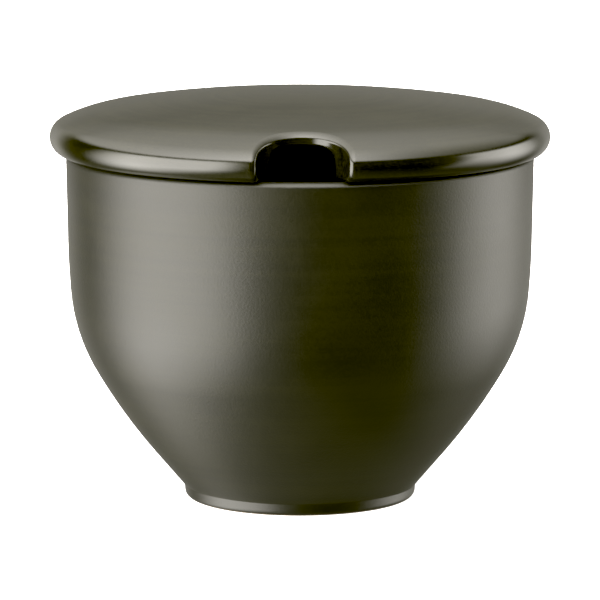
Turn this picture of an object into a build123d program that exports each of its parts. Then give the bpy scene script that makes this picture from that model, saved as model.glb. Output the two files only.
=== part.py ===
"""Sugar bowl with a lift-off lid that has a spoon notch in its rim.

Two fired pieces: a round bowl on a foot ring, and a low domed lid with a rolled rim.
All lengths are millimetres. The origin is the centre of the foot's underside, +Z is up,
and the spoon notch opens towards -Y. Angles of the side curves are leans from the vertical
on the bowl and slopes from the horizontal on the lid.
"""

import os
from math import asin, degrees

from build123d import *

# Bowl: the side, from the rim down
RIM_RADIUS = 46.8
RIM_HEIGHT = 69.5
BOWL_WALL = 3.0
UPPER_WALL_HEIGHT = 17.5
UPPER_WALL_LEAN = 1.0
SIDE_ARC_RADIUS = 150.0
SIDE_ARC_LEAN = 5.0
SHOULDER_RADIUS = 37.0
SHOULDER_LEAN = 30.0
BELLY_RADIUS = 115.0
CONE_LEAN = 40.5
RIM_ROUND = 1.0

# Bowl: the foot ring and the floor
FOOT_RADIUS = 23.1
FOOT_INNER_RADIUS = 19.6
FOOT_HEIGHT = 2.5
FOOT_ROUND = 1.2
FOOT_INNER_ROUND = 0.9
RECESS_DEPTH = 1.9
FLOOR_THICKNESS = 3.2
FLOOR_ROUND = 12.0

# Lid: the top, from the centre out to the seat on the bowl's rim
LID_TOP = 81.62
DOME_RADIUS = 270.0
DOME_SLOPE = 8.5
LID_SHOULDER_RADIUS = 28.8
LID_SHOULDER_SLOPE = 25.5
ROLLED_RIM_RADIUS = 3.45
SEAT_SLOPE = 180.0

# Lid: the hollow underneath, and the locating ring that drops into the bowl
LID_WALL = 2.8
RING_CLEARANCE = 0.9
RING_THICKNESS = 2.6
RING_DEPTH = 5.5
RING_TIP_ROUND = 1.0
RING_ROOT_ROUND = 2.0
RING_GAP_ANGLE = 36.0
RING_BOND_DEPTH = 1.0
HOLLOW_RADIUS = 43.4

# Lid: the spoon notch
NOTCH_RADIUS = 8.9
NOTCH_CENTRE_RADIUS = 50.0
NOTCH_EDGE_ROUND = 1.2
NOTCH_TOOL_CLEARANCE = 1.0


def side_curve(rim_radius, inset):
    """Draw the bowl's side from the rim down to the cone, and return its last arc.

    The inner side is the same curve with every arc's radius smaller by the wall's thickness.
    """
    wall = PolarLine(
        (rim_radius, RIM_HEIGHT),
        UPPER_WALL_HEIGHT,
        -90 - UPPER_WALL_LEAN,
        length_mode=LengthMode.VERTICAL,
    )
    side = JernArc(wall @ 1, wall % 1, SIDE_ARC_RADIUS - inset, UPPER_WALL_LEAN - SIDE_ARC_LEAN)
    shoulder = JernArc(side @ 1, side % 1, SHOULDER_RADIUS - inset, SIDE_ARC_LEAN - SHOULDER_LEAN)
    return JernArc(shoulder @ 1, shoulder % 1, BELLY_RADIUS - inset, SHOULDER_LEAN - CONE_LEAN)


def cone_line(belly, height):
    """Draw the straight cone that goes on from the belly's arc down to a height."""
    return PolarLine(
        belly @ 1,
        (belly @ 1).Y - height,
        -90 - CONE_LEAN,
        length_mode=LengthMode.VERTICAL,
    )


def lid_top_curve():
    """Draw the lid's outside from the centre to its seat: dome, shoulder and rolled rim."""
    dome = JernArc((0, LID_TOP), (1, 0), DOME_RADIUS, -DOME_SLOPE)
    shoulder = JernArc(dome @ 1, dome % 1, LID_SHOULDER_RADIUS, DOME_SLOPE - LID_SHOULDER_SLOPE)
    return JernArc(shoulder @ 1, shoulder % 1, ROLLED_RIM_RADIUS, LID_SHOULDER_SLOPE - SEAT_SLOPE)


def nearest(section, radius, height):
    """Return the section's vertex nearest to a radius and a height."""
    return section.vertices().sort_by_distance((radius, height))[0]


# ---------------------------------------------------------------- bowl

mouth_radius = RIM_RADIUS - BOWL_WALL
floor_height = RECESS_DEPTH + FLOOR_THICKNESS

with BuildPart() as bowl:
    with BuildSketch(Plane.XZ) as bowl_section:
        with BuildLine():
            outer_cone = cone_line(side_curve(RIM_RADIUS, 0), FOOT_HEIGHT)
            inner_cone = cone_line(side_curve(mouth_radius, BOWL_WALL), floor_height)
            Line((mouth_radius, RIM_HEIGHT), (RIM_RADIUS, RIM_HEIGHT))
            Polyline(
                inner_cone @ 1,
                (0, floor_height),
                (0, RECESS_DEPTH),
                (FOOT_INNER_RADIUS, RECESS_DEPTH),
                (FOOT_INNER_RADIUS, 0),
                (FOOT_RADIUS, 0),
                outer_cone @ 1,
            )
        make_face()
        floor_corner = inner_cone @ 1
        fillet([nearest(bowl_section, RIM_RADIUS, RIM_HEIGHT)], RIM_ROUND)
        fillet([nearest(bowl_section, mouth_radius, RIM_HEIGHT)], RIM_ROUND)
        fillet([nearest(bowl_section, FOOT_RADIUS, 0)], FOOT_ROUND)
        fillet([nearest(bowl_section, FOOT_INNER_RADIUS, 0)], FOOT_INNER_ROUND)
        fillet([nearest(bowl_section, FOOT_INNER_RADIUS, RECESS_DEPTH)], FOOT_INNER_ROUND)
        fillet([nearest(bowl_section, floor_corner.X, floor_corner.Y)], FLOOR_ROUND)
    revolve(axis=Axis.Z)

# ---------------------------------------------------------------- lid

underside_radius = DOME_RADIUS - LID_WALL
underside_top = LID_TOP - LID_WALL
ring_outer_radius = mouth_radius - RING_CLEARANCE
ring_inner_radius = ring_outer_radius - RING_THICKNESS

with BuildPart() as lid:
    with BuildSketch(Plane.XZ) as shell_section:
        with BuildLine():
            rolled_rim = lid_top_curve()
            hollow_angle = degrees(asin(HOLLOW_RADIUS / underside_radius))
            underside = JernArc((0, underside_top), (1, 0), underside_radius, -hollow_angle)
            seat_height = (rolled_rim @ 1).Y
            Polyline(rolled_rim @ 1, (HOLLOW_RADIUS, seat_height), underside @ 1)
            Line((0, underside_top), (0, LID_TOP))
        make_face()
        fillet([nearest(shell_section, HOLLOW_RADIUS, (underside @ 1).Y)], RING_ROOT_ROUND)
    revolve(axis=Axis.Z)

    ring_start = -90 + RING_GAP_ANGLE / 2
    ring_tip_height = seat_height - RING_DEPTH
    ring_bond_radius = HOLLOW_RADIUS + RING_BOND_DEPTH
    ring_bond_height = (underside @ 1).Y + RING_BOND_DEPTH
    with BuildSketch(Plane.XZ.rotated((0, 0, ring_start))) as ring_section:
        with BuildLine():
            flare_start = (ring_inner_radius, ring_bond_height - RING_ROOT_ROUND)
            flare = JernArc(flare_start, (0, 1), RING_ROOT_ROUND, 90)
            Polyline(
                flare @ 1,
                (ring_bond_radius, ring_bond_height),
                (ring_bond_radius, seat_height),
                (ring_outer_radius, seat_height),
                (ring_outer_radius, ring_tip_height),
                (ring_inner_radius, ring_tip_height),
                flare_start,
            )
        make_face()
        fillet([nearest(ring_section, ring_outer_radius, ring_tip_height)], RING_TIP_ROUND)
        fillet([nearest(ring_section, ring_inner_radius, ring_tip_height)], RING_TIP_ROUND)
    revolve(axis=Axis.Z, revolution_arc=360 - RING_GAP_ANGLE)

    notch_floor = Plane.XY.offset(ring_tip_height - NOTCH_TOOL_CLEARANCE)
    with BuildSketch(notch_floor):
        with Locations((0, -NOTCH_CENTRE_RADIUS)):
            Circle(NOTCH_RADIUS)
            Rectangle(2 * NOTCH_RADIUS, 2 * NOTCH_RADIUS, align=(Align.CENTER, Align.MAX))
    extrude(until=Until.LAST, mode=Mode.SUBTRACT)
    notch_wall = lid.faces().filter_by(GeomType.CYLINDER).sort_by(SortBy.RADIUS)[0]
    fillet(notch_wall.edges(), NOTCH_EDGE_ROUND)

bowl.part.label = "bowl"
lid.part.label = "lid"

os.makedirs("parts", exist_ok=True)
export_step(bowl.part, "parts/bowl.step")
export_step(lid.part, "parts/lid.step")
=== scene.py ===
"""Look of the sugar bowl: a glazed bowl and its lid, a pale floor, soft light and the camera.

All sizes of the pieces are millimetres in the part's own frame: the origin is the centre of
the foot's underside, +Z is up, and the spoon notch opens towards -Y. Meshes are in metres.
"""

import logging
import math
from dataclasses import dataclass, field
from enum import Enum

import bpy
import numpy as np
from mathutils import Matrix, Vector


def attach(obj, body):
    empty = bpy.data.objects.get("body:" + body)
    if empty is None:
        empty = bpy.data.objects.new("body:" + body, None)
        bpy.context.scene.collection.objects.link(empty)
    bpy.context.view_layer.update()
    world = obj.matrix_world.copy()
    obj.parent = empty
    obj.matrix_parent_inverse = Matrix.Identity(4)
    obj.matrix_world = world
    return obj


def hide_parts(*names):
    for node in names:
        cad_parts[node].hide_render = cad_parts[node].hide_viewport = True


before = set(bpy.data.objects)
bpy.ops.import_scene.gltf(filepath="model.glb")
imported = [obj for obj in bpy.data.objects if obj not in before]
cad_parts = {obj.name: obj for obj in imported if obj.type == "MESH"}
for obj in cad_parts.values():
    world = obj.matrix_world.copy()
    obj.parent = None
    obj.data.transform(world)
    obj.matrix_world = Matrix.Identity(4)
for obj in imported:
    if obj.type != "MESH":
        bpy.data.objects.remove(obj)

Pair = tuple[float, float]
Triple = tuple[float, float, float]
Shell = tuple[np.ndarray, np.ndarray]
Socket = bpy.types.NodeSocket
Tree = bpy.types.NodeTree

LOG = logging.getLogger("sugar_bowl")
METRES = 0.001
SHADOW_LEVEL = (0.0078, 0.0075, 0.0225)
SHORTEST_RUN = 0.02
END_PART = 0.06
HALVINGS = 40
TONE_RANGE = (0.32, 0.68)


# ------------------------------------------------------------------ curves in the section plane


def along(angle: float) -> np.ndarray:
    """Unit vector (cos a, sin a) at an angle in degrees."""
    return np.array([math.cos(math.radians(angle)), math.sin(math.radians(angle))])


def arc_points(centre: Pair, radius: float, start: float, end: float, steps: int) -> np.ndarray:
    """Points on a circle: the centre plus the radius times (cos a, sin a).

    Args:
        centre: radius and height of the circle's centre.
        radius: radius of the circle.
        start: first angle in degrees.
        end: last angle in degrees.
        steps: number of equal steps.

    Returns:
        Array of steps + 1 points.
    """
    angle = np.radians(np.linspace(start, end, steps + 1))
    return np.asarray(centre) + radius * np.stack([np.cos(angle), np.sin(angle)], axis=1)


def turn_arc(
    start: np.ndarray, heading: float, radius: float, turn: float, steps: int
) -> np.ndarray:
    """Arc that leaves a point along a heading and turns left or right on a circle.

    The centre lies one radius to the side it turns to, and each point is the centre plus the
    radius vector turned by part of the whole turn.

    Args:
        start: first point.
        heading: direction of travel in degrees.
        radius: radius of the circle.
        turn: whole turn in degrees, positive to the left.
        steps: number of equal steps.

    Returns:
        Array of steps + 1 points.
    """
    outward = heading - math.copysign(90.0, turn)
    centre = start - radius * along(outward)
    return arc_points(tuple(centre), radius, outward, outward + turn, steps)


def rounded_path(
    corners: list[Pair], radii: list[float], step: float, arc_steps: int = 10
) -> np.ndarray:
    """Straight runs joined by circular rounds.

    Each round touches both of its runs at radius / tan(half the corner's angle) from the corner.
    A run is divided into equal parts, with one short part at each end to keep the shading tight.

    Args:
        corners: (radius, height) of each corner, the ends included.
        radii: round at each corner, 0 for none.
        step: longest part of a run.
        arc_steps: steps on each round.

    Returns:
        Array of points from the first corner to the last.
    """
    points = [np.asarray(c, float) for c in corners]
    rounds = []
    for i, radius in enumerate(radii):
        if radius == 0:
            rounds.append(points[i][None])
            continue
        back = (points[i - 1] - points[i]) / np.linalg.norm(points[i - 1] - points[i])
        ahead = (points[i + 1] - points[i]) / np.linalg.norm(points[i + 1] - points[i])
        half = math.acos(float(np.clip(back @ ahead, -1, 1))) / 2
        middle = (back + ahead) / np.linalg.norm(back + ahead)
        centre = points[i] + middle * radius / math.sin(half)
        first = points[i] + back * radius / math.tan(half) - centre
        last = points[i] + ahead * radius / math.tan(half) - centre
        start = math.degrees(math.atan2(first[1], first[0]))
        sweep = (math.degrees(math.atan2(last[1], last[0])) - start + 180) % 360 - 180
        rounds.append(arc_points(tuple(centre), radius, start, start + sweep, arc_steps))
    path = [rounds[0]]
    for before, after in zip(rounds[:-1], rounds[1:]):
        run = after[0] - before[-1]
        length = float(np.linalg.norm(run))
        if length > SHORTEST_RUN:
            short = min(END_PART, length / 4) / length
            parts = np.linspace(short, 1 - short, max(2, math.ceil(length / step)))
            path.append(before[-1] + parts[:, None] * run)
        path.append(after)
    return np.concatenate(path)


# ------------------------------------------------------------------ meshes


def signed_volume(points: np.ndarray, faces: np.ndarray) -> float:
    """Volume inside a closed mesh of quads: the sum of a . (b x c) / 6 over their triangles.

    Args:
        points: array of points.
        faces: array of quads.

    Returns:
        The volume, negative where the faces look inwards.
    """
    a, b, c, d = (points[faces[:, k]] for k in range(4))
    both = np.einsum("ij,ij->i", a, np.cross(b, c)) + np.einsum("ij,ij->i", a, np.cross(c, d))
    return float(both.sum() / 6)


def grid_quads(rings: int, columns: int) -> np.ndarray:
    """Quads of a grid whose columns close on themselves.

    Point (i, j) of the grid joins its neighbours (i + 1, j) and (i, j + 1).

    Args:
        rings: number of rings of points.
        columns: number of points on a ring.

    Returns:
        Array of quads.
    """
    i, j = np.meshgrid(np.arange(rings - 1), np.arange(columns), indexing="ij")
    here, after = i * columns, (j + 1) % columns
    quads = np.stack([here + j, here + columns + j, here + columns + after, here + after], 2)
    return quads.reshape(-1, 4)


def grid_shell(rows: np.ndarray, first: np.ndarray, last: np.ndarray) -> Shell:
    """Closed shell from rings of points and one pole at each end.

    The first and the last ring close on their poles with quads that name the pole twice.

    Args:
        rows: array of rings, columns, 3.
        first: pole before the first ring.
        last: pole after the last ring.

    Returns:
        Points and quads that face outwards.
    """
    rings, columns, _ = rows.shape
    points = np.concatenate([rows.reshape(-1, 3), first[None], last[None]])
    here = np.arange(columns)
    after = (here + 1) % columns
    pole = np.full(columns, rings * columns)
    end = (rings - 1) * columns
    cap_first = np.stack([pole, here, after, pole], 1)
    cap_last = np.stack([end + after, end + here, pole + 1, pole + 1], 1)
    faces = np.concatenate([grid_quads(rings, columns), cap_first, cap_last])
    if signed_volume(points, faces) < 0:
        faces = faces[:, ::-1]
    return points, faces


def join_shells(*shells: Shell) -> Shell:
    """Several closed shells as one.

    Args:
        shells: points and faces of each shell.

    Returns:
        All points, and all faces with their numbers moved on to match.
    """
    starts = np.cumsum([0] + [len(points) for points, _ in shells[:-1]])
    points = np.concatenate([points for points, _ in shells])
    faces = np.concatenate([faces + start for (_, faces), start in zip(shells, starts)])
    return points, faces


def make_object(name: str, points: np.ndarray, faces: np.ndarray) -> bpy.types.Object:
    """Smooth-shaded object at the origin from points in millimetres.

    Corners of a face that lie on one point are dropped, so quads at a pole become triangles.

    Args:
        name: name of the object.
        points: array of points.
        faces: array of quads.

    Returns:
        The linked object.
    """
    _, same = np.unique(np.round(points, 5) + 0.0, axis=0, return_inverse=True)
    lead = np.full(same.max() + 1, -1)
    lead[same.ravel()[::-1]] = np.arange(len(points))[::-1]
    faces = lead[same.ravel()][faces]
    keep = faces != np.roll(faces, -1, axis=1)
    sides = keep.sum(1)
    good = sides >= 3
    faces, keep, sides = faces[good], keep[good], sides[good]
    used, loops = np.unique(faces[keep], return_inverse=True)
    mesh = bpy.data.meshes.new(name)
    mesh.vertices.add(len(used))
    mesh.vertices.foreach_set("co", (points[used] * METRES).astype(np.float32).ravel())
    mesh.loops.add(len(loops))
    mesh.loops.foreach_set("vertex_index", loops.ravel().astype(np.int32))
    mesh.polygons.add(len(sides))
    starts = np.concatenate([[0], np.cumsum(sides)[:-1]])
    mesh.polygons.foreach_set("loop_start", starts.astype(np.int32))
    mesh.polygons.foreach_set("use_smooth", np.ones(len(sides), bool))
    mesh.update(calc_edges=True)
    mesh.validate()
    piece = bpy.data.objects.new(name, mesh)
    bpy.context.scene.collection.objects.link(piece)
    return piece


def turned(section: np.ndarray, columns: int) -> np.ndarray:
    """Section turned about Z: (r cos a, r sin a, z) for a from 0 to 360 degrees.

    Args:
        section: radius and height of each point.
        columns: number of points on a ring.

    Returns:
        Array of rings, columns, 3.
    """
    angle = np.linspace(0, 2 * np.pi, columns, endpoint=False)
    flat = section[:, :1, None] * np.stack([np.cos(angle), np.sin(angle)], axis=1)
    heights = np.broadcast_to(section[:, 1:, None], (*flat.shape[:2], 1))
    return np.concatenate([flat, heights], axis=2)


def revolved(section: np.ndarray, columns: int) -> Shell:
    """Closed shell of a section that starts and ends on the axis, turned about Z.

    Args:
        section: radius and height of each point.
        columns: number of points on a ring.

    Returns:
        Points and faces.
    """
    poles = [np.array([0.0, 0.0, section[k, 1]]) for k in (0, -1)]
    return grid_shell(turned(section[1:-1], columns), *poles)


# ------------------------------------------------------------------ finishes


class Gloss(Enum):
    """How shiny a fired glaze came out: lowest and highest roughness."""

    SATIN = (0.39, 0.44)
    BRIGHT = (0.14, 0.19)


def noise_value(tree: Tree, place: Socket, size: float, detail: float) -> Socket:
    """Noise with features of a size.

    Args:
        tree: node tree to add to.
        place: point where the noise is read, in metres.
        size: size of the features in millimetres.
        detail: number of finer layers.

    Returns:
        A value round 0.5.
    """
    noise = tree.nodes.new("ShaderNodeTexNoise")
    noise.inputs["Scale"].default_value = 1.0 / (size * METRES)
    noise.inputs["Detail"].default_value = detail
    tree.links.new(place, noise.inputs["Vector"])
    return noise.outputs["Fac"]


def two_tones(tree: Tree, value: Socket, low: Triple, high: Triple) -> Socket:
    """Colour that goes from one tone to another as a value rises.

    Args:
        tree: node tree to add to.
        value: value from 0 to 1.
        low: colour below TONE_RANGE.
        high: colour above it.

    Returns:
        The colour.
    """
    ramp = tree.nodes.new("ShaderNodeValToRGB")
    for element, position, tone in zip(ramp.color_ramp.elements, TONE_RANGE, (low, high)):
        element.position = position
        element.color = (*tone, 1.0)
    tree.links.new(value, ramp.inputs["Fac"])
    return ramp.outputs["Color"]


def ranged(
    tree: Tree, value: Socket, source: Pair, target: Pair, smooth: bool = False
) -> Socket:
    """Value mapped from one range to another and held at its ends.

    Args:
        tree: node tree to add to.
        value: value to map.
        source: range it comes from.
        target: range it goes to.
        smooth: whether it starts and stops gently.

    Returns:
        The mapped value.
    """
    node = tree.nodes.new("ShaderNodeMapRange")
    node.interpolation_type = "SMOOTHSTEP" if smooth else "LINEAR"
    for name, number in zip(("From Min", "From Max", "To Min", "To Max"), (*source, *target)):
        node.inputs[name].default_value = number
    tree.links.new(value, node.inputs["Value"])
    return node.outputs["Result"]


def arithmetic(tree: Tree, operation: str, first: Socket, second: Socket | float) -> Socket:
    """One sum, product or other operation on two values.

    Args:
        tree: node tree to add to.
        operation: name of the operation.
        first: first term.
        second: second term, a socket or a number.

    Returns:
        The result.
    """
    node = tree.nodes.new("ShaderNodeMath")
    node.operation = operation
    tree.links.new(first, node.inputs[0])
    if isinstance(second, float):
        node.inputs[1].default_value = second
    else:
        tree.links.new(second, node.inputs[1])
    return node.outputs[0]


def height_of(tree: Tree, place: Socket) -> Socket:
    """Height of a place, its Z.

    Args:
        tree: node tree to add to.
        place: the place.

    Returns:
        Its height in metres.
    """
    split = tree.nodes.new("ShaderNodeSeparateXYZ")
    tree.links.new(place, split.inputs["Vector"])
    return split.outputs["Z"]


@dataclass(frozen=True)
class Glaze:
    """Dark olive glaze over clay, with clouding, grain, turning lines and a slight ripple.

    Sizes and heights are millimetres. The turning lines run round the axis. Below the bare
    height the clay of the foot's land is unglazed.
    """

    name: str
    gloss: Gloss
    deep: Triple
    pale: Triple
    specular: float
    sheen: float = 0.0
    sheen_roughness: float = 0.45
    grain_size: float = 0.45
    cloud_size: float = 16.0
    ripple_size: float = 9.0
    ripple_height: float = 0.004
    turning_size: float = 1.6
    turning_height: float = 0.0012
    grain_height: float = 0.0008
    mottle_range: Pair = (1.1, 1.9)
    shine_range: Pair = (0.7, 1.3)
    bare_height: float = 0.3
    bare_edge: float = 0.15
    bare_clay: Triple = (0.17, 0.125, 0.085)
    bare_roughness: Pair = (0.85, 0.95)

    def material(self) -> bpy.types.Material:
        """Build the node material on Object coordinates.

        Returns:
            The material.
        """
        made = bpy.data.materials.new(self.name)
        made.use_nodes = True
        tree = made.node_tree
        shader = tree.nodes["Principled BSDF"]
        place = tree.nodes.new("ShaderNodeTexCoord").outputs["Object"]
        clouds = noise_value(tree, place, self.cloud_size, 5.0)
        grain = noise_value(tree, place, self.grain_size, 3.0)
        ripple = noise_value(tree, place, self.ripple_size, 1.5)
        turning = noise_value(tree, self._around(tree, place), self.turning_size, 2.0)
        mottle = arithmetic(tree, "ADD", arithmetic(tree, "ADD", clouds, turning), grain)
        mottle = ranged(tree, mottle, self.mottle_range, (0.0, 1.0))
        bare = self._bare_mask(tree, place)
        glazed = two_tones(tree, mottle, self.deep, self.pale)
        clay = two_tones(tree, grain, tuple(0.8 * c for c in self.bare_clay), self.bare_clay)
        tree.links.new(self._mix(tree, "RGBA", bare, glazed, clay), shader.inputs["Base Color"])
        shine = arithmetic(tree, "ADD", grain, clouds)
        shine = ranged(tree, shine, self.shine_range, self.gloss.value)
        dull = ranged(tree, grain, (0.3, 0.7), self.bare_roughness)
        tree.links.new(self._mix(tree, "FLOAT", bare, shine, dull), shader.inputs["Roughness"])
        wavy = self._bump(tree, ripple, self.ripple_height, None)
        wavy = self._bump(tree, turning, self.turning_height, wavy)
        tree.links.new(self._bump(tree, grain, self.grain_height, wavy), shader.inputs["Normal"])
        shader.inputs["Specular IOR Level"].default_value = self.specular
        shader.inputs["Sheen Weight"].default_value = self.sheen
        shader.inputs["Sheen Roughness"].default_value = self.sheen_roughness
        return made

    @staticmethod
    def _around(tree: Tree, place: Socket) -> Socket:
        """Place on the section: (distance from the axis, 0, height).

        Args:
            tree: node tree to add to.
            place: place on the piece.

        Returns:
            The vector, which is the same all the way round.
        """
        flat = tree.nodes.new("ShaderNodeVectorMath")
        flat.operation = "MULTIPLY"
        flat.inputs[1].default_value = (1.0, 1.0, 0.0)
        tree.links.new(place, flat.inputs[0])
        distance = tree.nodes.new("ShaderNodeVectorMath")
        distance.operation = "LENGTH"
        tree.links.new(flat.outputs["Vector"], distance.inputs[0])
        joined = tree.nodes.new("ShaderNodeCombineXYZ")
        tree.links.new(distance.outputs["Value"], joined.inputs["X"])
        tree.links.new(height_of(tree, place), joined.inputs["Z"])
        return joined.outputs["Vector"]

    def _bare_mask(self, tree: Tree, place: Socket) -> Socket:
        """1 on the unglazed land of the foot, below the bare height, and 0 above it."""
        edge = (self.bare_height * METRES, (self.bare_height - self.bare_edge) * METRES)
        return ranged(tree, height_of(tree, place), edge, (0.0, 1.0))

    @staticmethod
    def _mix(tree: Tree, kind: str, mask: Socket, low: Socket, high: Socket) -> Socket:
        """Mix of two colours or two values.

        Args:
            tree: node tree to add to.
            kind: RGBA or FLOAT.
            mask: value from 0 to 1.
            low: what is taken where the mask is 0.
            high: what is taken where it is 1.

        Returns:
            The mix.
        """
        node = tree.nodes.new("ShaderNodeMix")
        node.data_type = kind
        sockets = {s.name: s for s in node.inputs if s.enabled}
        tree.links.new(mask, sockets["Factor"])
        tree.links.new(low, sockets["A"])
        tree.links.new(high, sockets["B"])
        return next(s for s in node.outputs if s.enabled)

    @staticmethod
    def _bump(tree: Tree, height: Socket, depth: float, under: Socket | None) -> Socket:
        """Bumps on a surface.

        Args:
            tree: node tree to add to.
            height: value from 0 to 1.
            depth: height in millimetres where the value is 1.
            under: surface the bumps lie on, None for the bare mesh.

        Returns:
            The bumpy surface's normal.
        """
        node = tree.nodes.new("ShaderNodeBump")
        node.inputs["Distance"].default_value = depth * METRES
        tree.links.new(height, node.inputs["Height"])
        if under is not None:
            tree.links.new(under, node.inputs["Normal"])
        return node.outputs["Normal"]


# ------------------------------------------------------------------ bowl


@dataclass
class Bowl:
    """Round bowl on a low foot ring: sizes in millimetres, angles as leans from the vertical."""

    rim_radius: float = 46.8
    rim_height: float = 69.5
    wall: float = 3.0
    upper_wall_height: float = 17.5
    upper_wall_lean: float = 1.0
    side_radius: float = 150.0
    side_lean: float = 5.0
    shoulder_radius: float = 37.0
    shoulder_lean: float = 30.0
    belly_radius: float = 115.0
    cone_lean: float = 40.5
    rim_round: float = 1.0
    foot_radius: float = 23.1
    foot_inner_radius: float = 19.6
    foot_height: float = 2.5
    foot_round: float = 1.2
    foot_inner_round: float = 0.9
    foot_corner_round: float = 0.4
    longest_part: float = 1.6
    arc_steps: tuple[int, int, int] = (10, 20, 20)
    recess_depth: float = 1.9
    floor_thickness: float = 3.2
    floor_round: float = 12.0
    columns: int = 448
    finish: Glaze = field(
        default_factory=lambda: Glaze(
            name="bowl_satin_olive_glaze",
            gloss=Gloss.SATIN,
            deep=(0.0008, 0.0008, 0.0002),
            pale=(0.0029, 0.0027, 0.0007),
            specular=0.40,
            sheen=0.022,
            grain_height=0.022,
        )
    )

    def side(
        self, rim_radius: float, inset: float, low: float
    ) -> tuple[np.ndarray, np.ndarray]:
        """Side from the rim down: a leaning wall, three tangent arcs and a straight cone.

        Args:
            rim_radius: radius at the rim.
            inset: how much smaller each arc's radius is than the outer side's.
            low: height where the cone ends.

        Returns:
            The arcs' points, and the cone's last point.
        """
        lean = math.radians(self.upper_wall_lean)
        drop = self.upper_wall_height
        start = np.array([rim_radius - drop * math.tan(lean), self.rim_height - drop])
        heading = -90.0 - self.upper_wall_lean
        arcs = []
        leans = (self.upper_wall_lean, self.side_lean, self.shoulder_lean, self.cone_lean)
        radii = (self.side_radius, self.shoulder_radius, self.belly_radius)
        for radius, before, after, steps in zip(radii, leans[:-1], leans[1:], self.arc_steps):
            arc = turn_arc(start, heading, radius - inset, before - after, steps)
            arcs.append(arc if not arcs else arc[1:])
            start = arc[-1]
            heading += before - after
        cone = math.radians(self.cone_lean)
        end = start - (start[1] - low) * np.array([math.tan(cone), 1.0])
        return np.concatenate(arcs), end

    def section(self) -> np.ndarray:
        """Section from the recess under the foot, round the outside and the inside to the floor.

        Returns:
            Radius and height of each point, from axis to axis.
        """
        mouth = self.rim_radius - self.wall
        floor = self.recess_depth + self.floor_thickness
        outer, outer_foot = self.side(self.rim_radius, 0.0, self.foot_height)
        inner, inner_floor = self.side(mouth, self.wall, floor)
        foot = rounded_path(
            [
                (0, self.recess_depth),
                (self.foot_inner_radius, self.recess_depth),
                (self.foot_inner_radius, 0),
                (self.foot_radius, 0),
                outer_foot,
                outer[-1],
            ],
            [
                0,
                self.foot_inner_round,
                self.foot_inner_round,
                self.foot_round,
                self.foot_corner_round,
                0,
            ],
            self.longest_part,
        )
        rim = rounded_path(
            [outer[0], (self.rim_radius, self.rim_height), (mouth, self.rim_height), inner[0]],
            [0, self.rim_round, self.rim_round, 0],
            self.longest_part,
        )
        floor_path = rounded_path(
            [inner[-1], inner_floor, (0, floor)], [0, self.floor_round, 0], self.longest_part
        )
        return np.concatenate([foot, outer[::-1][1:-1], rim, inner[1:-1], floor_path])

    def build(self) -> bpy.types.Object:
        """Build and dress the bowl.

        Returns:
            The bowl's object, riding on its body in place of its CAD node.
        """
        piece = make_object("bowl_glazed", *revolved(self.section(), self.columns))
        piece.data.materials.append(self.finish.material())
        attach(piece, "bowl")
        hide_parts("bowl")
        return piece


# ------------------------------------------------------------------ lid


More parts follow.
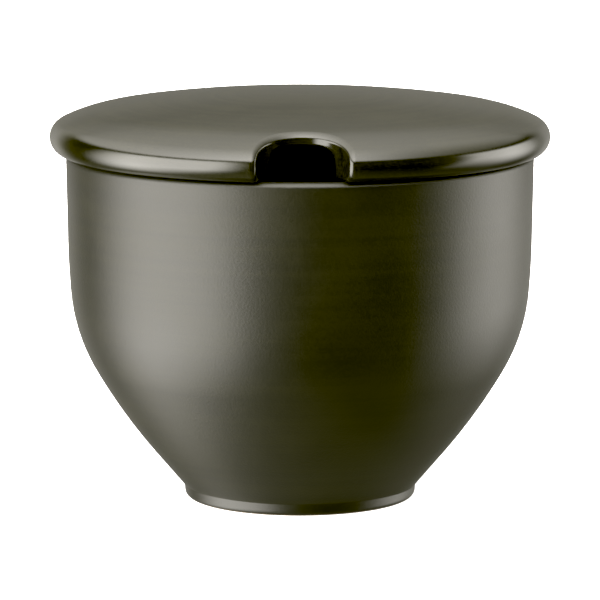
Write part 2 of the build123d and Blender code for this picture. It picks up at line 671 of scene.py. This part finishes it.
@dataclass
class Lid:
    """Low domed lid with a rolled rim, a spoon notch and a locating ring: sizes in millimetres."""

    top: float = 81.62
    dome_radius: float = 270.0
    dome_slope: float = 8.5
    shoulder_radius: float = 28.8
    shoulder_slope: float = 25.5
    rim_radius: float = 3.45
    wall: float = 2.8
    hollow_radius: float = 43.4
    hollow_draft: float = 2.0
    hollow_round: float = 2.0
    ring_inner_radius: float = 40.3
    ring_outer_radius: float = 42.9
    ring_depth: float = 5.5
    ring_tip_round: float = 1.0
    ring_bond: float = 1.0
    ring_gap: float = 36.0
    ring_end_round: float = 0.5
    notch_radius: float = 8.9
    notch_centre: float = 50.0
    notch_round: float = 1.2
    notch_core: float = 1.5
    core_blend: Pair = (44.0, 46.5)
    reach: float = 8.0
    seat_corner_round: float = 0.25
    longest_part: float = 0.8
    ring_longest_part: float = 1.5
    ring_overlap: float = 0.4
    notch_steps: int = 57
    corner_steps: int = 39
    rim_steps: int = 164
    rim_crowding: float = 1.15
    top_rings: int = 44
    top_crowding: float = 1.35
    edge_rings: int = 60
    under_rings: int = 25
    ring_steps: int = 200
    finish: Glaze = field(
        default_factory=lambda: Glaze(
            name="lid_glossy_olive_glaze",
            gloss=Gloss.BRIGHT,
            deep=(0.0022, 0.0022, 0.0004),
            pale=(0.0062, 0.0059, 0.0024),
            specular=0.5,
            turning_height=0.005,
            grain_height=0.0016,
            bare_height=-1.0,
        )
    )

    def centres(self) -> tuple[np.ndarray, np.ndarray, np.ndarray]:
        """Centres of the three arcs, each in line with the next where they meet.

        Returns:
            Radius and height of the dome's, the shoulder's and the rolled rim's centre.
        """
        dome = np.array([0.0, self.top - self.dome_radius])
        reach = self.dome_radius - self.shoulder_radius
        shoulder = dome + reach * along(90 - self.dome_slope)
        reach = self.shoulder_radius - self.rim_radius
        return dome, shoulder, shoulder + reach * along(90 - self.shoulder_slope)

    def seat(self) -> float:
        """Height of the flat seat under the rolled rim."""
        return float(self.centres()[2][1] - self.rim_radius)

    def outside(self, radius: np.ndarray, height: np.ndarray) -> np.ndarray:
        """Distance above the top: to the rim's, the shoulder's or the dome's circle.

        The circle is chosen by the slope at which the point is seen from its centre.

        Args:
            radius: distances from the axis.
            height: heights.

        Returns:
            Distances, negative below the top.
        """
        dome, shoulder, rim = self.centres()
        to_dome = np.hypot(radius - dome[0], height - dome[1]) - self.dome_radius
        to_shoulder = np.hypot(radius - shoulder[0], height - shoulder[1]) - self.shoulder_radius
        to_rim = np.hypot(radius - rim[0], height - rim[1]) - self.rim_radius
        shoulder_seen = np.degrees(np.arctan2(radius - shoulder[0], height - shoulder[1]))
        rim_seen = np.degrees(np.arctan2(radius - rim[0], height - rim[1]))
        inner = np.where(shoulder_seen > self.dome_slope, to_shoulder, to_dome)
        return np.where(rim_seen > self.shoulder_slope, to_rim, inner)

    def underside(self) -> np.ndarray:
        """Section under the lid: the seat, the hollow's side, its round, and the dome.

        Returns:
            Radius and height of each point, from the seat to the axis.
        """
        dome = self.centres()[0]
        inner = self.dome_radius - self.wall
        seat = self.seat()
        meet = dome[1] + math.sqrt(inner**2 - self.hollow_radius**2)
        lean = (meet - seat) * math.tan(math.radians(self.hollow_draft))
        corner = (self.hollow_radius - lean, meet)
        chord = self.hollow_radius - 3 * self.hollow_round
        chord_height = dome[1] + math.sqrt(inner**2 - chord**2)
        run = rounded_path(
            [
                (self.centres()[2][0], seat),
                (self.hollow_radius, seat),
                corner,
                (chord, chord_height),
            ],
            [0, self.seat_corner_round, self.hollow_round, 0],
            self.longest_part,
        )
        far = np.linspace(chord, 0, self.under_rings + 1)[1:]
        return np.concatenate([run, np.stack([far, dome[1] + np.sqrt(inner**2 - far**2)], 1)])

    def depth(self, points: np.ndarray) -> np.ndarray:
        """Distance from the lid's shell near its edge, negative inside.

        It is the larger of the distances above the top and below the underside, cut by the
        notch's cylinder with a round: min(-r, larger) + length of the parts within r of both.

        Args:
            points: array of points, the last axis being x, y, z.

        Returns:
            A distance for each point.
        """
        radius = np.hypot(points[..., 0], points[..., 1])
        height = points[..., 2]
        dome = self.centres()[0]
        below_dome = self.dome_radius - self.wall - np.hypot(radius, height - dome[1])
        draft = along(self.hollow_draft)
        side = (self.hollow_radius - radius) * draft[0] - (height - self.seat()) * draft[1]
        below_rim = np.maximum(self.seat() - height, side)
        r = self.hollow_round
        corner = np.hypot(np.maximum(r - below_dome, 0), np.maximum(r - below_rim, 0))
        below = np.maximum(r, np.minimum(below_dome, below_rim)) - corner
        shell = np.maximum(self.outside(radius, height), below)
        notch = self.notch_radius - np.hypot(points[..., 0], points[..., 1] + self.notch_centre)
        r = self.notch_round
        edge = np.hypot(np.maximum(r + shell, 0), np.maximum(r + notch, 0))
        return np.minimum(-r, np.maximum(shell, notch)) + edge

    def core(self) -> tuple[np.ndarray, np.ndarray]:
        """Line inside the lid's edge that the edge is traced from, with a way out for each point.

        Half of it is an arc round the notch, a fan at the mouth's corner, and an arc along the
        rim. The other half is its mirror image in X.

        Returns:
            Plan points of the line, and plan directions of unit length.
        """
        out = self.notch_radius + self.notch_core
        rim = self.centres()[2][0]
        y = (out**2 - rim**2 - self.notch_centre**2) / (2 * self.notch_centre)
        corner = np.array([math.sqrt(rim**2 - y**2), y])
        low = math.atan2(y + self.notch_centre, corner[0])
        angle = np.linspace(math.pi / 2, low, self.notch_steps + 1)
        way = -np.stack([np.cos(angle), np.sin(angle)], 1)
        arc = np.array([0.0, -self.notch_centre]) - out * way
        first = math.atan2(way[-1, 1], way[-1, 0])
        last = math.atan2(corner[1], corner[0])
        angle = np.linspace(first, last, self.corner_steps + 1)[1:-1]
        fan_way = np.stack([np.cos(angle), np.sin(angle)], 1)
        fan = np.broadcast_to(corner, fan_way.shape)
        share = np.linspace(0, 1, self.rim_steps + 1) ** self.rim_crowding
        angle = last + (math.pi / 2 - last) * share
        rim_way = np.stack([np.cos(angle), np.sin(angle)], 1)
        plan = np.concatenate([arc, fan, rim * rim_way])
        ways = np.concatenate([way, fan_way, rim_way])
        plan[0, 0] = plan[-1, 0] = ways[0, 0] = ways[-1, 0] = 0.0
        return tuple(np.concatenate([half, half[-2:0:-1] * (-1.0, 1.0)]) for half in (plan, ways))

    def top_height(self, radius: np.ndarray) -> np.ndarray:
        """Height of the top: centre's height plus sqrt(arc's radius^2 - distance^2).

        Args:
            radius: distances from the axis.

        Returns:
            A height for each.
        """
        dome, shoulder, _ = self.centres()
        edge = self.dome_radius * math.sin(math.radians(self.dome_slope))
        on_dome = dome[1] + np.sqrt(self.dome_radius**2 - np.minimum(radius, edge) ** 2)
        out = np.maximum(radius, edge) - shoulder[0]
        on_shoulder = shoulder[1] + np.sqrt(self.shoulder_radius**2 - out**2)
        return np.where(radius < edge, on_dome, on_shoulder)

    def start(self, plan: np.ndarray, radius: np.ndarray) -> np.ndarray:
        """Points inside the lid's edge on the core line.

        Their depth under the top is half the wall at the notch and the rim's radius elsewhere,
        with a smooth change, s^2 (3 - 2 s), where the core line comes round the corner.

        Args:
            plan: plan points of the core line.
            radius: their distances from the axis.

        Returns:
            Array of points.
        """
        near, far = self.core_blend
        share = np.clip((radius - near) / (far - near), 0, 1)
        share = share**2 * (3 - 2 * share)
        depth = self.wall / 2 + (self.rim_radius - self.wall / 2) * share
        return np.concatenate([plan, (self.top_height(radius) - depth)[:, None]], 1)

    def shell(self) -> Shell:
        """Closed shell of the lid with its notch.

        Rings go from the top's centre to the core line, where the height is the top's. Then a
        fan of rays from the core line turns from up, over the edge, to down, and each ray ends
        where the depth is zero, found by halving. Then rings follow the underside back in.

        Returns:
            Points and faces.
        """
        plan, ways = self.core()
        radius = np.hypot(plan[:, 0], plan[:, 1])
        under = self.underside()
        share = 1 - (1 - np.linspace(0, 1, self.top_rings + 1)[1:]) ** self.top_crowding
        rings = share[:, None, None] * plan[None]
        top = np.concatenate([rings, self.top_height(share[:, None] * radius)[..., None]], 2)
        start = self.start(plan, radius)
        tilt = np.linspace(math.pi / 2, -math.pi / 2, self.edge_rings + 2)[1:-1, None, None]
        flat = np.cos(tilt) * ways[None]
        rise = np.broadcast_to(np.sin(tilt), (*flat.shape[:2], 1))
        rays = np.concatenate([flat, rise], 2)
        near = np.zeros(rays.shape[:2])
        far = np.full(rays.shape[:2], self.reach)
        for _ in range(HALVINGS):
            middle = (near + far) / 2
            out = self.depth(start[None] + middle[..., None] * rays) > 0
            near, far = np.where(out, near, middle), np.where(out, middle, far)
        edge = start[None] + far[..., None] * rays
        inner = np.minimum(under[:-1, 0][:, None], radius[None])
        back = inner[..., None] * (plan / radius[:, None])[None]
        heights = np.interp(inner, under[::-1, 0], under[::-1, 1])
        bottom = np.concatenate([back, heights[..., None]], 2)
        poles = np.array([0.0, 0.0, self.top]), np.array([0.0, 0.0, under[-1, 1]])
        return grid_shell(np.concatenate([top, edge, bottom]), *poles)

    def ring(self) -> Shell:
        """Locating ring: a section with a flared root carried round the axis, open at the notch.

        Near each end the section shrinks towards its middle on a quarter circle.

        Returns:
            Points and faces.
        """
        seat = self.seat()
        dome = self.centres()[0]
        bond = self.hollow_radius + self.ring_bond
        inner = self.dome_radius - self.wall
        high = dome[1] + math.sqrt(inner**2 - self.hollow_radius**2) + self.ring_bond
        root = (self.ring_inner_radius - self.hollow_round, high - self.hollow_round)
        flare = arc_points(root, self.hollow_round, 90, 0, 8)
        tip = rounded_path(
            [
                flare[-1],
                (self.ring_inner_radius, seat - self.ring_depth),
                (self.ring_outer_radius, seat - self.ring_depth),
                (self.ring_outer_radius, seat + self.ring_overlap),
                (bond, seat + self.ring_overlap),
                (bond, high),
            ],
            [0, self.ring_tip_round, self.ring_tip_round, 0, 0, 0],
            self.ring_longest_part,
        )
        section = np.concatenate([flare[:-1], tip])
        middle = np.array([(self.ring_inner_radius + self.ring_outer_radius) / 2, seat - 1.0])
        turn = np.radians(np.linspace(0, 90, 7))
        inset = self.ring_end_round * (1 - np.sin(turn))
        lead = self.ring_end_round * (1 - np.cos(turn)) / self.ring_outer_radius
        half = math.radians(180 - self.ring_gap / 2)
        between = np.linspace(-half + lead[-1], half - lead[-1], self.ring_steps)
        angle = np.concatenate([-half + lead[:-1], between, half - lead[-2::-1]])
        shrink = np.concatenate([inset[:-1], np.zeros(self.ring_steps), inset[-2::-1]])
        away = section - middle
        away /= np.linalg.norm(away, axis=1)[:, None]
        ring = section[None] - shrink[:, None, None] * away[None]
        angle = angle[:, None] + math.pi / 2
        out, height = ring[..., 0], ring[..., 1]
        rows = np.stack([out * np.cos(angle), out * np.sin(angle), height], 2)
        return grid_shell(rows, rows[0].mean(0), rows[-1].mean(0))

    def build(self) -> bpy.types.Object:
        """Build and dress the lid.

        Returns:
            The lid's object, riding on its body in place of its CAD node.
        """
        piece = make_object("lid_glazed", *join_shells(self.shell(), self.ring()))
        piece.data.materials.append(self.finish.material())
        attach(piece, "lid")
        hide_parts("lid")
        return piece


# ------------------------------------------------------------------ studio


@dataclass(frozen=True)
class LightEdge:
    """Soft edge of a light: 0 to 1 as direction . way goes from dark to full."""

    way: Triple
    dark: float
    full: float

    def value(self, tree: Tree, direction: Socket) -> Socket:
        """How much of the light is left in a direction.

        Args:
            tree: the world's node tree.
            direction: unit vector looked along.

        Returns:
            A number from 0 to 1.
        """
        dot = tree.nodes.new("ShaderNodeVectorMath")
        dot.operation = "DOT_PRODUCT"
        dot.inputs[1].default_value = self.way
        tree.links.new(direction, dot.inputs[0])
        return ranged(tree, dot.outputs["Value"], (self.dark, self.full), (0.0, 1.0), True)


@dataclass(frozen=True)
class SoftBox:
    """Soft light seen through all of its edges at once."""

    strength: float
    edges: tuple[LightEdge, ...]

    def value(self, tree: Tree, direction: Socket) -> Socket:
        """Strength in a direction: the product of the edges, times the full strength.

        Args:
            tree: the world's node tree.
            direction: unit vector looked along.

        Returns:
            The strength.
        """
        share = self.edges[0].value(tree, direction)
        for edge in self.edges[1:]:
            share = arithmetic(tree, "MULTIPLY", share, edge.value(tree, direction))
        return arithmetic(tree, "MULTIPLY", share, self.strength)


@dataclass
class StudioLight:
    """Soft studio light all round: a large overhead light, a soft box on each side, and dim fill.

    The overhead light's strength is overhead * (1 - y), so it is brightest in front of the
    bowl, and it also fades to the right. It stops at its lower edge, except behind the bowl,
    where it goes on down to the table. The backdrop and the table throw a little light back.
    """

    tint: Triple = (1.0, 0.968, 0.91)
    fill: float = 0.03
    overhead: float = 6.0
    overhead_edge: LightEdge = LightEdge((0, 0, 1), 0.34, 0.48)
    overhead_right: LightEdge = LightEdge((-1, 0, 0), -1.25, 0.05)
    overhead_back: tuple[LightEdge, LightEdge] = (
        LightEdge((0, 1, 0), 0.70, 0.92),
        LightEdge((0, 0, 1), -0.5, -0.2),
    )
    left: SoftBox = SoftBox(
        10.8,
        (
            LightEdge((-1, 0, 0), 0.38, 0.64),
            LightEdge((0, -1, -0.3), -0.45, 0.2),
            LightEdge((0, 0, -1), -0.35, -0.21),
            LightEdge((0, 0, 1), -1.0, -0.5),
        ),
    )
    right: SoftBox = SoftBox(
        6.7,
        (
            LightEdge((1, 0, 0), 0.42, 0.82),
            LightEdge((0, 1, 0), -0.27, 0.0),
            LightEdge((0, -1, 0), -0.88, -0.28),
            LightEdge((0, 0, -1), -0.32, -0.22),
            LightEdge((0, 0, 1), -0.78, -0.1),
        ),
    )
    backdrop: SoftBox = SoftBox(
        0.24,
        (
            LightEdge((0, 1, 0), 0.55, 0.97),
            LightEdge((0, 0, 1), -0.75, -0.3),
            LightEdge((0, 0, -1), -0.35, -0.1),
        ),
    )
    table: SoftBox = SoftBox(
        0.52,
        (
            LightEdge((0, 0, -1), 0.4, 0.9),
            LightEdge((-1, 0, 0), -1.4, 0.5),
        ),
    )

    def build(self) -> bpy.types.World:
        """Build the world.

        Returns:
            The world, set on the scene.
        """
        world = bpy.data.worlds.new("studio_light")
        world.use_nodes = True
        tree = world.node_tree
        direction = tree.nodes.new("ShaderNodeTexCoord").outputs["Generated"]
        total = self._overhead(tree, direction)
        for light in (self.left, self.right, self.backdrop, self.table):
            total = arithmetic(tree, "ADD", total, light.value(tree, direction))
        background = tree.nodes["Background"]
        background.inputs["Color"].default_value = (*self.tint, 1.0)
        tree.links.new(arithmetic(tree, "ADD", total, self.fill), background.inputs["Strength"])
        bpy.context.scene.world = world
        return world

    def _overhead(self, tree: Tree, direction: Socket) -> Socket:
        """Strength of the overhead light in a direction.

        Args:
            tree: the world's node tree.
            direction: unit vector looked along.

        Returns:
            The strength.
        """
        split = tree.nodes.new("ShaderNodeSeparateXYZ")
        tree.links.new(direction, split.inputs["Vector"])
        fade = ranged(tree, split.outputs["Y"], (-1.0, 1.0), (2.0 * self.overhead, 0.0))
        behind, low = (edge.value(tree, direction) for edge in self.overhead_back)
        shown = arithmetic(tree, "MULTIPLY", behind, low)
        shown = arithmetic(tree, "MAXIMUM", shown, self.overhead_edge.value(tree, direction))
        shown = arithmetic(tree, "MULTIPLY", shown, self.overhead_right.value(tree, direction))
        return arithmetic(tree, "MULTIPLY", fade, shown)


@dataclass
class Floor:
    """Pale floor that curves up into a backdrop far from the bowl: sizes in millimetres."""

    flat_radius: float = 4000.0
    curve_radius: float = 3000.0
    tone: Triple = (0.8, 0.8, 0.8)
    lit: float = 0.85
    cloud_size: float = 400.0
    roughness: float = 0.9
    columns: int = 96

    def material(self) -> bpy.types.Material:
        """Matt white with light of its own and faint clouding.

        Returns:
            The material.
        """
        made = bpy.data.materials.new("studio_floor")
        made.use_nodes = True
        tree = made.node_tree
        shader = tree.nodes["Principled BSDF"]
        place = tree.nodes.new("ShaderNodeTexCoord").outputs["Object"]
        clouds = noise_value(tree, place, self.cloud_size, 3.0)
        paper = two_tones(tree, clouds, tuple(0.98 * c for c in self.tone), self.tone)
        tree.links.new(paper, shader.inputs["Base Color"])
        shader.inputs["Roughness"].default_value = self.roughness
        shader.inputs["Emission Color"].default_value = (1.0, 1.0, 1.0, 1.0)
        shader.inputs["Emission Strength"].default_value = self.lit
        return made

    def build(self) -> bpy.types.Object:
        """Flat disc with a quarter-circle curve round it, turned about Z.

        Returns:
            The floor, which only the camera sees.
        """
        run = np.stack([np.linspace(0, self.flat_radius, 12), np.zeros(12)], 1)
        curve = arc_points((self.flat_radius, self.curve_radius), self.curve_radius, -90, 0, 12)
        section = np.concatenate([run, curve[1:]])
        rings = turned(section, self.columns)
        floor = make_object("studio_floor", rings.reshape(-1, 3), grid_quads(len(rings), self.columns))
        floor.data.materials.append(self.material())
        for ray in ("visible_glossy", "visible_diffuse", "visible_shadow"):
            setattr(floor, ray, False)
        return floor


@dataclass
class Camera:
    """Camera at the bowl's front, a little above its rim: sizes in millimetres."""

    target: Triple = (0.0, 0.0, 39.64)
    distance: float = 900.0
    azimuth: float = -0.6
    elevation: float = 9.12
    lens: float = 268.5
    sensor: float = 36.0
    nearest: float = 10.0
    furthest: float = 50000.0

    def build(self) -> bpy.types.Object:
        """Build the camera and make it the scene's.

        Returns:
            The camera.
        """
        data = bpy.data.cameras.new("camera")
        data.lens = self.lens
        data.sensor_width = self.sensor
        data.clip_start = self.nearest * METRES
        data.clip_end = self.furthest * METRES
        camera = bpy.data.objects.new("camera", data)
        bpy.context.scene.collection.objects.link(camera)
        turn, rise = math.radians(self.azimuth), math.radians(self.elevation)
        level = math.cos(rise)
        back = Vector((math.sin(turn) * level, -math.cos(turn) * level, math.sin(rise)))
        camera.location = (Vector(self.target) + back * self.distance) * METRES
        camera.rotation_euler = (-back).to_track_quat("-Z", "Y").to_euler()
        bpy.context.scene.camera = camera
        return camera


def develop() -> None:
    """Plain display transform, with the deepest shadows brought down to black."""
    view = bpy.context.scene.view_settings
    view.view_transform = "Standard"
    view.use_curve_mapping = True
    view.curve_mapping.black_level = SHADOW_LEVEL
    view.curve_mapping.update()


def main() -> None:
    """Build everything in order."""
    logging.basicConfig(level=logging.INFO, format="%(message)s")
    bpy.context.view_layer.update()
    Camera().build()
    StudioLight().build()
    Floor().build()
    develop()
    for part in (Bowl(), Lid()):
        piece = part.build()
        mesh = piece.data
        LOG.info("%s: %d points, %d faces", piece.name, len(mesh.vertices), len(mesh.polygons))


if __name__ == "__main__":
    main()
